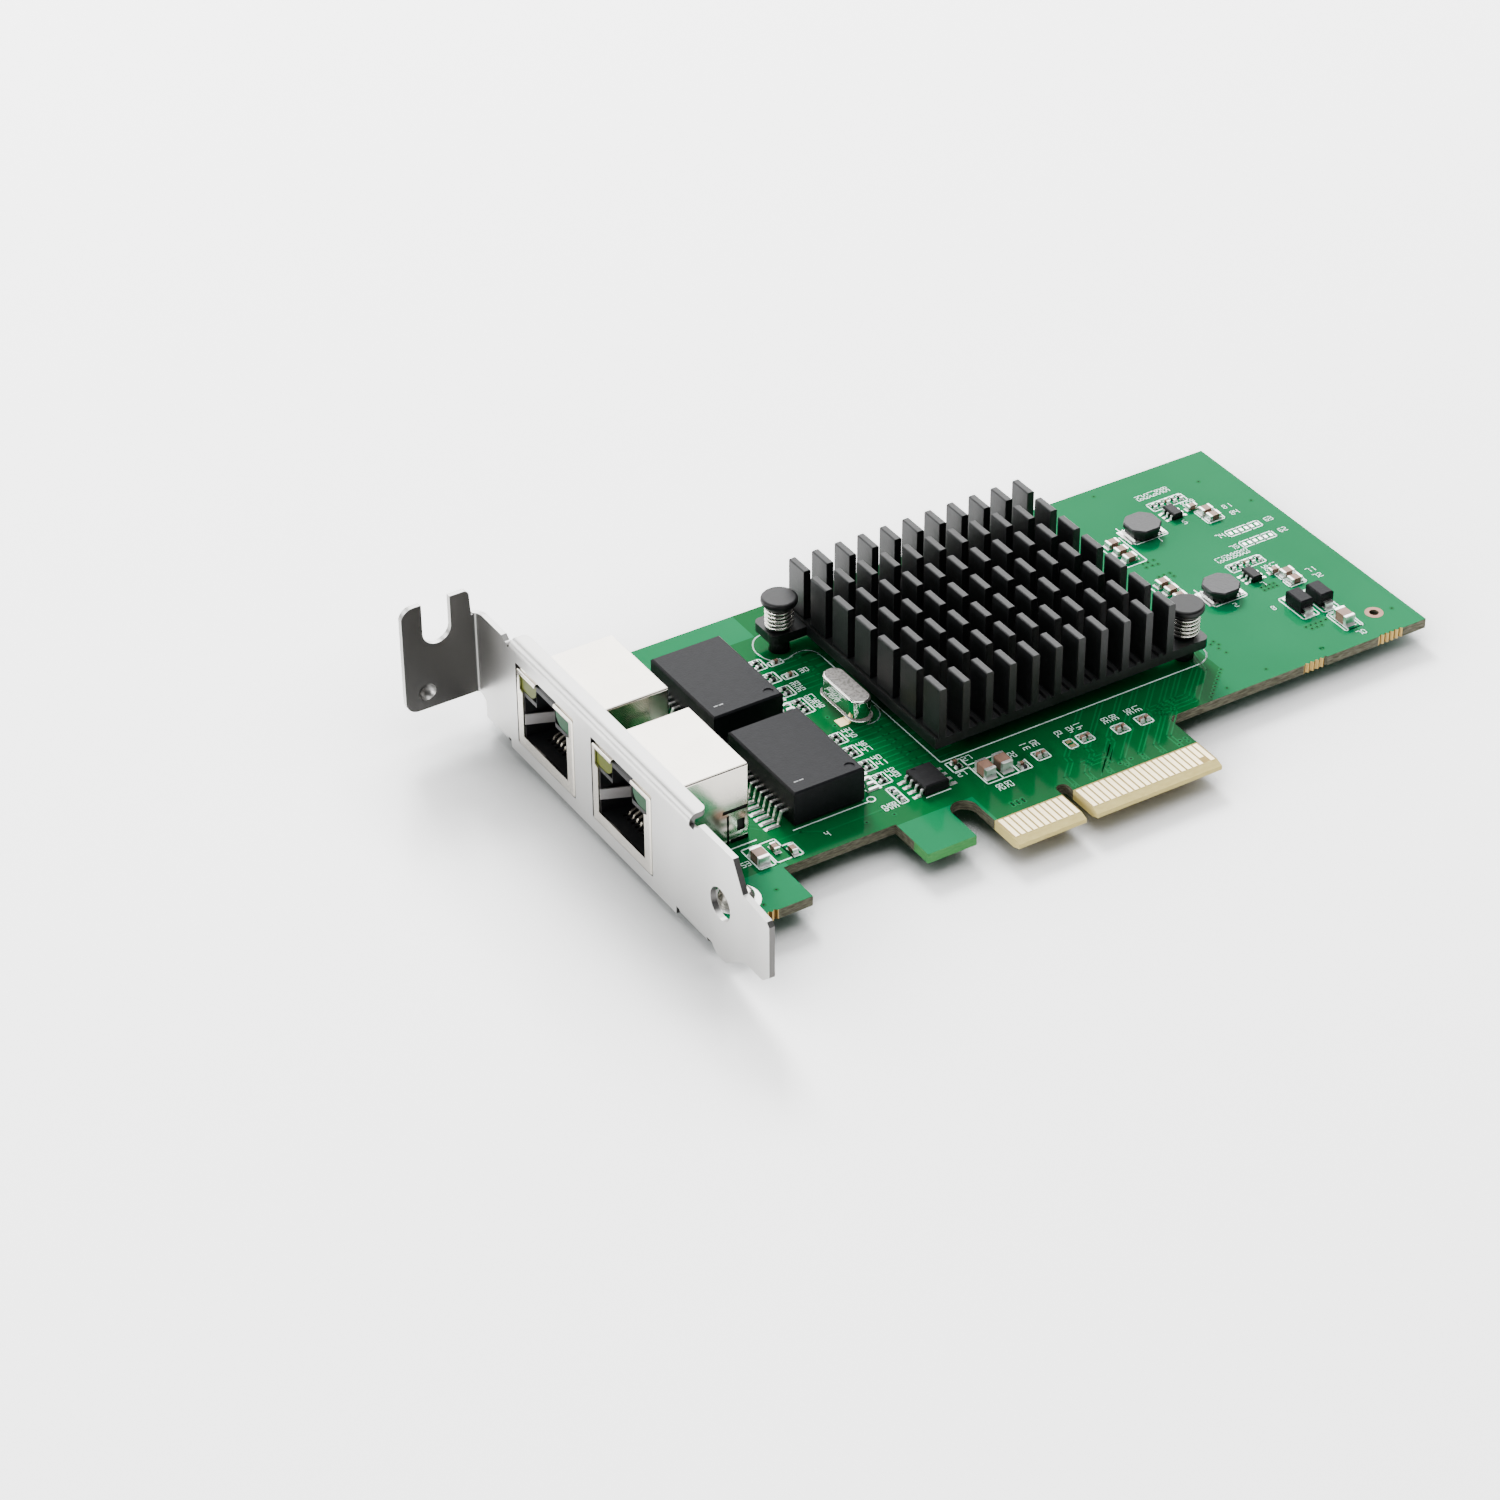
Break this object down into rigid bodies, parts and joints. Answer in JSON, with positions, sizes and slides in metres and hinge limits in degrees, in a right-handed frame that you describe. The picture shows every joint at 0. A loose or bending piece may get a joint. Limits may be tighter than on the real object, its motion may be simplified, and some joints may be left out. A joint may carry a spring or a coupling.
{
  "type": "network interface card",
  "caption": "Low-profile network interface card with modular ports, a finned heatsink, an edge connector and a folded mounting bracket.",
  "frame": {"origin": "on the lower edge of the board's edge connector, at mid thickness, on the key notch reference line", "axes": "+X along the board away from the bracket, +Y up from the edge connector across the board, +Z out of the component side"},
  "size_m": [0.1383, 0.0791, 0.0234],
  "materials": {
    "circuit_board": "glossy green solder mask over glass-epoxy laminate",
    "edge_contacts_component_side": "satin gold plate",
    "edge_contacts_solder_side": "satin gold plate",
    "bracket": "satin zinc plate",
    "bracket_screws": "bright nickel plate",
    "jack_1_shield": "bright nickel plate",
    "jack_1_housing": "matt moulded black",
    "jack_1_contacts": "gold plate",
    "jack_1_lamp_amber": "tinted translucent",
    "jack_1_lamp_green": "tinted translucent",
    "transformer_1_body": "matt moulded black",
    "transformer_1_leads": "tin plate",
    "inductor_1_core": "matt ferrite",
    "inductor_1_terminals": "tin plate",
    "push_pin_1": "matt moulded dark grey",
    "push_pin_spring_1": "bright spring steel",
    "jack_2_shield": "bright nickel plate",
    "jack_2_housing": "matt moulded black",
    "jack_2_contacts": "gold plate",
    "jack_2_lamp_amber": "tinted translucent",
    "jack_2_lamp_green": "tinted translucent",
    "transformer_2_body": "matt moulded black",
    "transformer_2_leads": "tin plate",
    "inductor_2_core": "matt ferrite",
    "inductor_2_terminals": "tin plate",
    "push_pin_2": "matt moulded dark grey",
    "push_pin_spring_2": "bright spring steel",
    "crystal_base": "bright nickel plate",
    "crystal_can": "bright nickel plate",
    "heatsink": "black anodised",
    "controller_chip": "matt moulded black",
    "thermal_pad": "grey thermal compound pad",
    "flash_chip_body": "matt moulded black",
    "flash_chip_leads": "tin plate",
    "regulator_bodies": "matt moulded black",
    "regulator_leads": "tin plate",
    "power_diode_bodies": "matt moulded black",
    "power_diode_terminals": "tin plate",
    "large_capacitor_bodies": "satin tan ceramic",
    "large_capacitor_ends": "tin plate",
    "medium_capacitor_bodies": "satin tan ceramic",
    "medium_capacitor_ends": "tin plate",
    "small_capacitor_bodies": "satin tan ceramic",
    "small_capacitor_ends": "tin plate",
    "chip_resistor_bodies": "black glaze",
    "chip_resistor_ends": "tin plate"
  },
  "bodies": {
    "root": {"circuit_board": "circuit_board", "edge_contacts_component_side": "edge_contacts_component_side", "edge_contacts_solder_side": "edge_contacts_solder_side", "bracket": "bracket", "bracket_screws": "bracket_screws", "jack_1_shield": "jack_1_shield", "jack_1_housing": "jack_1_housing", "jack_1_contacts": "jack_1_contacts", "jack_1_lamp_amber": "jack_1_lamp_amber", "jack_1_lamp_green": "jack_1_lamp_green", "transformer_1_body": "transformer_1_body", "transformer_1_leads": "transformer_1_leads", "inductor_1_core": "inductor_1_core", "inductor_1_terminals": "inductor_1_terminals", "push_pin_1": "push_pin_1", "push_pin_spring_1": "push_pin_spring_1", "jack_2_shield": "jack_2_shield", "jack_2_housing": "jack_2_housing", "jack_2_contacts": "jack_2_contacts", "jack_2_lamp_amber": "jack_2_lamp_amber", "jack_2_lamp_green": "jack_2_lamp_green", "transformer_2_body": "transformer_2_body", "transformer_2_leads": "transformer_2_leads", "inductor_2_core": "inductor_2_core", "inductor_2_terminals": "inductor_2_terminals", "push_pin_2": "push_pin_2", "push_pin_spring_2": "push_pin_spring_2", "crystal_base": "crystal_base", "crystal_can": "crystal_can", "heatsink": "heatsink", "controller_chip": "controller_chip", "thermal_pad": "thermal_pad", "flash_chip_body": "flash_chip_body", "flash_chip_leads": "flash_chip_leads", "regulator_bodies": "regulator_bodies", "regulator_leads": "regulator_leads", "power_diode_bodies": "power_diode_bodies", "power_diode_terminals": "power_diode_terminals", "large_capacitor_bodies": "large_capacitor_bodies", "large_capacitor_ends": "large_capacitor_ends", "medium_capacitor_bodies": "medium_capacitor_bodies", "medium_capacitor_ends": "medium_capacitor_ends", "small_capacitor_bodies": "small_capacitor_bodies", "small_capacitor_ends": "small_capacitor_ends", "chip_resistor_bodies": "chip_resistor_bodies", "chip_resistor_ends": "chip_resistor_ends"}
  },
  "joints": []
}
